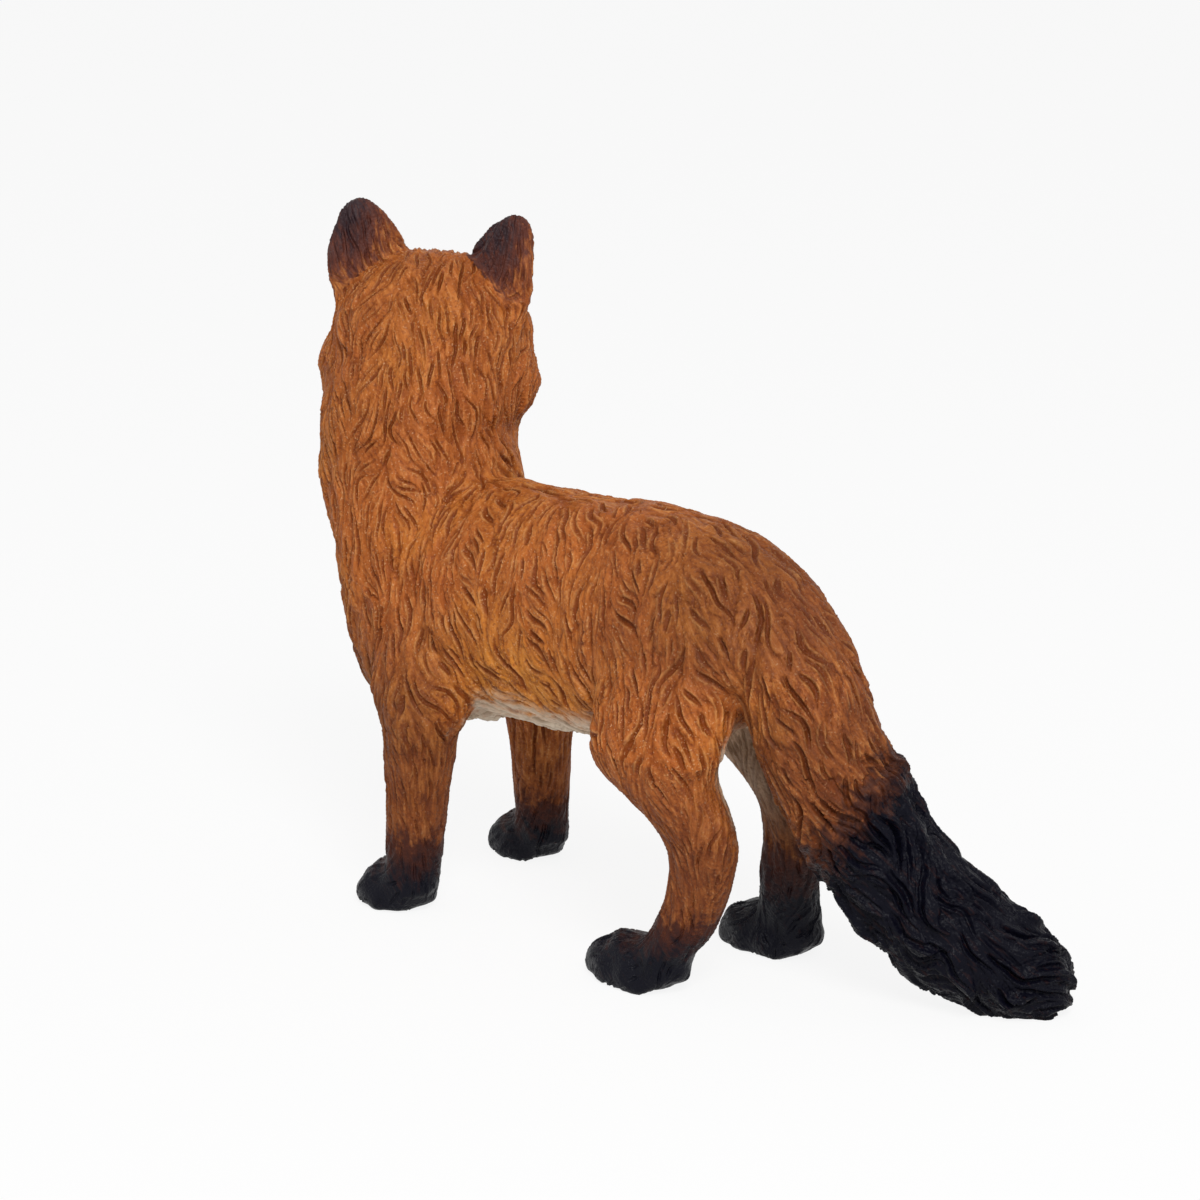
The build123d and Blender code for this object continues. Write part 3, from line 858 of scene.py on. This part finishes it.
# painted shade over the nape and the back of the head, except on the cream
soot = over(sootAndShadeZone(), zone("napeShade") * (1 - cream), isTrunk)
lean = np.degrees(np.arctan2(np.abs(lie[:, 1]), np.abs(lie[:, 2])))
slanted, level = downFur[1][0], downFur[2][0]
marks = {
    "groove": (strokeDepth + wrinkleDepth + 0.35 * lockShade) / deepest,
    "strand": 0.5 + 0.3 * fineStrands + 0.3 * broadStrands,
    "rim": rimHeight / highest, "soot": soot, "cream": cream,
    "amber": (isBody | isLeg) * zone("amber"),
    "slant": np.where(isTail, smoothStep(tailAlong, *tailTurn), lean / slanted),
    "level": np.where(isTail, 0, (lean - slanted) / (level - slanted)),
}
for name, values in marks.items():
    layer = skin.attributes.new(name, "FLOAT", "POINT")
    layer.data.foreach_set("value", np.clip(values, 0, 1).astype(np.float32))
print("paint: zones kept")

# The skin is cut into one piece for each CAD piece
slots = {name: ("leg" if name.endswith("leg") else name.split("_")[-1]) + "_fur" for name in pieceNames}
mostTriangles = 190000
wallDepth = 0.4  # mm


def cutPieces():
    whole = addObject("skin", skin)
    bpy.ops.object.select_all(action="DESELECT")
    whole.select_set(True)
    bpy.context.view_layer.objects.active = whole
    bpy.ops.mesh.separate(type="MATERIAL")
    return {piece.data.materials[0].name[5:]: piece for piece in bpy.context.selected_objects}


# A wall runs in from the edge of each cut, and a cap closes it
def closePiece(mesh):
    bm = bmesh.new()
    bm.from_mesh(mesh)
    rim = [edge for edge in bm.edges if edge.is_boundary]
    walls = bmesh.ops.extrude_edge_only(bm, edges=rim)["geom"]
    for item in walls:
        if isinstance(item, bmesh.types.BMVert):
            item.co -= Vector(normals[carvedTree.find(item.co)[1]]) * wallDepth
    for edge in rim:
        edge.smooth = False  # the wall doesn't pull the shading of the fur
    rim = [edge for edge in bm.edges if edge.is_boundary]
    caps = bmesh.ops.holes_fill(bm, edges=rim, sides=0)["faces"]
    bmesh.ops.triangulate(bm, faces=caps)
    bmesh.ops.recalc_face_normals(bm, faces=bm.faces)
    bmesh.ops.scale(bm, vec=[1 / perMetre] * 3, verts=bm.verts)
    for face in bm.faces:
        face.smooth = True
    bm.to_mesh(mesh)
    bm.free()


def cutPoints(mesh):
    sharp = readArray(mesh.attributes["sharp_edge"].data, "value", kind=bool)
    cut = np.zeros(len(mesh.vertices), bool)
    cut[readEdges(mesh)[sharp].ravel()] = True
    return cut


# The edge of the cut keeps all its points, so that neighbours still meet
def thin(piece, ratio):
    cut = cutPoints(piece.data)
    group = piece.vertex_groups.new(name="inside")
    group.add([int(index) for index in np.flatnonzero(~cut)], 1, "REPLACE")
    modifier = piece.modifiers.new("thin", "DECIMATE")
    modifier.ratio = ratio
    modifier.vertex_group = group.name
    slim = evaluated(piece)
    piece.modifiers.remove(modifier)
    piece.vertex_groups.remove(group)
    full = piece.data
    piece.data = slim
    bpy.data.meshes.remove(full)


# Along a cut the shading is that of the uncut skin
def hideCut(mesh):
    shading = np.zeros((len(mesh.vertices), 3))
    for index in np.flatnonzero(cutPoints(mesh)):
        shading[index] = skinNormals[carvedTree.find(mesh.vertices[index].co * perMetre)[1]]
    mesh.normals_split_custom_set_from_vertices(shading.tolist())


print("cutting pieces")
carvedTree = nearestTree(points)
pieces = cutPieces()
for name, piece in pieces.items():
    closePiece(piece.data)
    triangles = sum(len(polygon.vertices) - 2 for polygon in piece.data.polygons)
    if triangles > mostTriangles:
        thin(piece, mostTriangles / triangles)
    hideCut(piece.data)
    print("piece", name, triangles, "triangles ->", len(piece.data.polygons), "faces")


def colour(code):
    channels = [int(code[start:start + 2], 16) / 255 for start in (1, 3, 5)]
    linear = [c / 12.92 if c <= 0.04045 else ((c + 0.055) / 1.055) ** 2.4 for c in channels]
    return (*linear, 1)


# Adds a node and gives an output: a key sets a setting or an input, and a socket is linked to that input
def addNode(tree, kind, settings, output=0):
    node = tree.nodes.new("ShaderNode" + kind)
    for key, value in settings.items():
        if isinstance(key, str) and hasattr(node, key):
            setattr(node, key, value)
        elif isinstance(value, bpy.types.NodeSocket):
            tree.links.new(value, node.inputs[key])
        else:
            node.inputs[key].default_value = value
    return node.outputs[output] if node.outputs else None


# Paints one coat after another over the first: how much of it, and its colour
def coats(tree, first, others):
    paint = colour(first)
    for share, code in others:
        paint = addNode(tree, "Mix", {"data_type": "RGBA", 0: share, 6: paint, 7: colour(code)}, 2)
    return paint


def newMaterial(name):
    material = bpy.data.materials.new(name)
    material.use_nodes = True
    material.node_tree.nodes.clear()
    return material, material.node_tree


# Soft PVC, moulded and airbrushed: satin, paint thin on the flats, pooled in the carving, rubbed off the ridges; its
# pale specks are partly rubbed paint and partly painted glints
furLooks = {  # material, cream, umber and black paint, roughness and gloss of the black, streaks, leans of the hair
    "body_fur": ("moulded_pvc_fox_orange", "#E6D5BE", "#502815", "#120F13", 0.5, 0.14, 0.08, downFur),
    "head_fur": ("moulded_pvc_fox_head", "#E9DCC8", "#4A2616", "#0A090B", 0.5, 0.14, 0.08, downFur),
    "ear_fur": ("moulded_pvc_dark_ears", "#C9A98C", "#5E3022", "#2A171B", 0.52, 0.2, 0.24, downFur),
    # the black of the legs and the brush is tinted blue: black paint with a painted bluish reflection
    "leg_fur": ("moulded_pvc_black_stockings", "#CDB59A", "#4A2212", "#0B0B15", 0.38, 0.1, 0.1, downFur),
    "tail_fur": ("moulded_pvc_black_brush", "#E6D5BE", "#502815", "#0B0B15", 0.3, 0.06, 0.12, tailFur),
}
# the rim colour on the carved rims is partly dry-brushed paint and partly painted highlight where light catches them
orangePaint = {"flat": "#B2632B", "groove": "#763405", "dip": "#8E4414", "rim": "#D2965A", "amber": "#CB8130",
               "speck": "#6B3322", "rubbedAndGlints": "#DDAA7C", "creamDip": "#A3876A", "rough": 0.54, "gloss": 0.14}
grainForm = {"cloud": 9, "hair": 0.36, "hairStretch": 7, "spray": 0.34, "sand": 0.2, "detail": 2,  # mm
             "worn": 0.07, "ior": 1.53, "bump": 0.7, "bumpHeight": 0.0001}  # bump height in metres


# Hair lines too fine to carve, drawn out the way the fur leans
def hairPattern(tree, coordinates, leans, slant, level):
    hairs = []
    for lean in leans:
        turned = {"vector_type": "TEXTURE", "Rotation": [math.radians(angle) for angle in lean],
                  "Scale": (1, 1, grainForm["hairStretch"]), "Vector": coordinates}
        noise = {"Scale": perMetre / grainForm["hair"], "Detail": grainForm["detail"],
                 "Vector": addNode(tree, "Mapping", turned)}
        hairs.append(addNode(tree, "TexNoise", noise))
    hair = hairs[0]
    for share, other in zip((slant, level), hairs[1:]):
        hair = addNode(tree, "Mix", {0: share, 2: hair, 3: other})
    return hair


def furMaterial(title, cream, umber, soot, sootRough, sootGloss, streak, leans):
    material, tree = newMaterial(title)
    coordinates = addNode(tree, "TexCoord", {}, "Object")
    reads = {name: addNode(tree, "Attribute", {"attribute_name": name}, "Fac") for name in marks}
    for name in ("cloud", "spray", "sand"):
        noise = {"Scale": perMetre / grainForm[name], "Detail": grainForm["detail"], "Vector": coordinates}
        reads[name] = addNode(tree, "TexNoise", noise)
    reads["hair"] = hairPattern(tree, coordinates, leans, reads["slant"], reads["level"])
    worn = grainForm["worn"]
    shares = {"amberZone": reads["amber"], "creamZone": reads["cream"]}  # what each reads, from, to, least and most
    for name, source, low, high, least, most in (
            ("cloud", "cloud", 0.42, 0.68, 0, 0.4), ("strand", "strand", 0.45, 0.15, 0, 0.6),
            ("rim", "rim", 0.3, 1, 0, 0.55), ("groove", "groove", 0.1, 0.65, 0, 0.9),
            ("hair", "hair", 0.52, 0.34, 0, 0.52), ("tips", "hair", 0.54, 0.7, 0, 0.36),
            ("specks", "spray", 0.56, 0.7, 0, 0.5), ("rubbedAndGlints", "sand", 0.62, 0.72, 0, 0.55),
            ("mist", "hair", 0.3, 0.7, streak, -streak), ("worn", "spray", 0.3, 0.7, -worn, worn)):
        shares[name] = addNode(tree, "MapRange", {0: reads[source], 1: low, 2: high, 3: least, 4: most})
    # the soot value holds the black paint and, at its low end, painted shade, which is laid as umber
    sootAndShade = addNode(tree, "Math", {"operation": "ADD", 0: reads["soot"], 1: shares["mist"]})
    shares["umber"] = addNode(tree, "MapRange", {0: sootAndShade, 1: 0.04, 2: 0.5})
    shares["soot"] = addNode(tree, "MapRange", {0: sootAndShade, 1: 0.45, 2: 0.95})
    # the black is sprayed in a paint of its own sheen
    rough = addNode(tree, "MapRange", {0: shares["soot"], 3: orangePaint["rough"], 4: sootRough})
    rough = addNode(tree, "Math", {"operation": "ADD", 0: rough, 1: shares["worn"]})
    gloss = addNode(tree, "MapRange", {0: shares["soot"], 3: orangePaint["gloss"], 4: sootGloss})
    dips = addNode(tree, "Math", {"operation": "MAXIMUM", 0: shares["groove"], 1: shares["hair"]})
    shares["creamDip"] = addNode(tree, "Math", {"operation": "MULTIPLY", 0: dips, 1: reads["cream"]})
    colours = {**orangePaint, "cream": cream, "umber": umber, "soot": soot}
    # the pale specks are partly rubbed paint and partly painted glints
    paint = coats(tree, colours["flat"], [(shares[share], colours[name]) for share, name in (
        ("cloud", "amber"), ("amberZone", "amber"), ("strand", "dip"), ("hair", "dip"), ("tips", "rim"), ("rim", "rim"),
        ("groove", "groove"), ("specks", "speck"), ("rubbedAndGlints", "rubbedAndGlints"), ("creamZone", "cream"),
        ("creamDip", "creamDip"), ("umber", "umber"), ("soot", "soot"))])
    height = shares["rim"]
    for source, share in (
            (reads["sand"], 1.2), (shares["groove"], -0.8), (shares["strand"], -0.4), (reads["hair"], 1.6)):
        height = addNode(tree, "Math", {"operation": "MULTIPLY_ADD", 0: source, 1: share, 2: height})
    bump = {"Strength": grainForm["bump"], "Distance": grainForm["bumpHeight"], "Height": height}
    shader = addNode(tree, "BsdfPrincipled", {
        "Base Color": paint, "Roughness": rough, "IOR": grainForm["ior"], "Specular IOR Level": gloss,
        "Normal": addNode(tree, "Bump", bump)})
    addNode(tree, "OutputMaterial", {"Surface": shader})
    return material


finishes = {slot: furMaterial(*look) for slot, look in furLooks.items()}
for name, piece in pieces.items():
    piece.name = "fur_" + name
    piece.data.name = "fur_" + name
    piece.data.materials.clear()
    piece.data.materials.append(finishes[slots[name]])
    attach(piece, "root")
    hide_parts(name)
bpy.data.batch_remove([material for material in bpy.data.materials if material.name.startswith("sort_")])
print("fur: materials")

# Gloss lacquer over painted eyes: dark pupil, brown iris, wet shine
eyePaint = {"pupil": "#070505", "iris": "#8A4C12", "edge": "#140C08", "gloss": 0.25, "rough": 0.1, "ior": 1.5,
            "cloud": 0.5, "irisSpan": (0.76, 0.84), "pupilSpan": (0.94, 0.955)}  # mm; 1 where the eye looks


def eyeMaterial():
    material, tree = newMaterial("gloss_lacquer_eye")
    coordinates = addNode(tree, "TexCoord", {}, "Object")
    gaze = addNode(tree, "Attribute", {"attribute_name": "gaze"}, "Fac")
    cloud = addNode(tree, "TexNoise", {"Scale": perMetre / eyePaint["cloud"], "Vector": coordinates})
    cloud = addNode(tree, "MapRange", {0: cloud, 1: 0.3, 2: 0.7, 3: 0.55, 4: 1})
    iris, pupil = (addNode(tree, "MapRange", {0: gaze, 1: low, 2: high})
                   for low, high in (eyePaint["irisSpan"], eyePaint["pupilSpan"]))
    iris = addNode(tree, "Math", {"operation": "MULTIPLY", 0: iris, 1: cloud})
    shader = addNode(tree, "BsdfPrincipled", {
        "Base Color": coats(tree, eyePaint["edge"], ((iris, eyePaint["iris"]), (pupil, eyePaint["pupil"]))),
        "IOR": eyePaint["ior"], "Specular IOR Level": eyePaint["gloss"], "Roughness": eyePaint["rough"]})
    addNode(tree, "OutputMaterial", {"Surface": shader})
    return material


def makeEye(side, name):
    middle, outward, inward, above = eyeFrame(side)
    gaze = Vector(unit(fromHead(*eyeForm["look"], side)))
    bm = bmesh.new()
    bmesh.ops.create_uvsphere(bm, u_segments=32, v_segments=24, radius=eyeForm["radius"] / perMetre)
    bmesh.ops.rotate(bm, matrix=gaze.to_track_quat("Z", "Y").to_matrix(), verts=bm.verts)
    look = bm.verts.layers.float.new("gaze")  # 1 where the eye looks, 0 round its side
    for vert in bm.verts:
        vert[look] = vert.co.normalized().dot(gaze)
    middle = middle - outward * (eyeForm["radius"] - eyeForm["proud"])
    bmesh.ops.translate(bm, vec=Vector((withers + middle) / perMetre), verts=bm.verts)
    for face in bm.faces:
        face.smooth = True
    eye = addObject(name, meshFrom(bm, name))
    eye.data.materials.append(eyeFinish)
    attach(eye, "root")
    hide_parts("head")


eyeFinish = eyeMaterial()
makeEye(1, "left_eye")
makeEye(-1, "right_eye")
print("eyes: set")

studio = {
    "camera": (138, 14, 0.35), "key": (146, 42, 0.6),  # degrees round and up, metres away
    "sky": 0.48, "floorSize": 6, "floorGlow": 0.88, "paper": "#F4F4F4",
}
cameraForm = {"lens": 115.8, "sensor_width": 36, "clip_start": 0.01, "clip_end": 20}
keyForm = {"shape": "DISK", "size": 0.26, "energy": 2.5}
target = Vector((withers + (0, 20, 31.05)) / perMetre)


# Sets up a camera or lamp, turned to the figure
def aim(data, settings, azimuth, elevation, away):
    setUp(data, settings)
    a, e = math.radians(azimuth), math.radians(elevation)
    back = Vector((math.sin(a) * math.cos(e), -math.cos(a) * math.cos(e), math.sin(e)))
    item = addObject(data.name, data)
    item.location = target + back * away
    item.rotation_euler = back.to_track_quat("Z", "Y").to_euler()
    return item


# 1 for what the camera sees, also by gloss and through glass, and 0 for light that falls on the figure
def seenShare(tree):
    seen = addNode(tree, "LightPath", {}, "Is Camera Ray")
    for name in ("Is Glossy Ray", "Is Transmission Ray"):
        seen = addNode(tree, "Math", {"operation": "MAXIMUM", 0: seen, 1: addNode(tree, "LightPath", {}, name)})
    return seen


# Plain even light from all round, seen as white
def lightSky():
    world = bpy.data.worlds.new("studio")
    bpy.context.scene.world = world
    world.use_nodes = True
    tree = world.node_tree
    tree.nodes.clear()
    sky = studio["sky"]
    level = addNode(tree, "Math", {"operation": "MULTIPLY_ADD", 0: seenShare(tree), 1: 1 - sky, 2: sky})
    light = addNode(tree, "Background", {"Color": (1, 1, 1, 1), "Strength": level})
    addNode(tree, "OutputWorld", {"Surface": light})


# Matt paper that looks nearly white and keeps the shadow
def layFloor():
    bm = bmesh.new()
    bmesh.ops.create_grid(bm, x_segments=1, y_segments=1, size=studio["floorSize"])
    floor = addObject("floor", meshFrom(bm, "floor"))
    material, tree = newMaterial("matt_white_paper")
    share = {"operation": "MULTIPLY", 0: seenShare(tree), 1: studio["floorGlow"]}
    paper = addNode(tree, "BsdfDiffuse", {"Color": colour(studio["paper"])})
    glow = addNode(tree, "Emission", {"Strength": 1})
    mixed = addNode(tree, "MixShader", {0: addNode(tree, "Math", share), 1: paper, 2: glow})
    addNode(tree, "OutputMaterial", {"Surface": mixed})
    floor.data.materials.append(material)


bpy.context.scene.camera = aim(bpy.data.cameras.new("camera"), cameraForm, *studio["camera"])
aim(bpy.data.lights.new("softbox", "AREA"), keyForm, *studio["key"])
lightSky()
layFloor()
bpy.context.scene.view_settings.view_transform = "Standard"
print("studio: set")
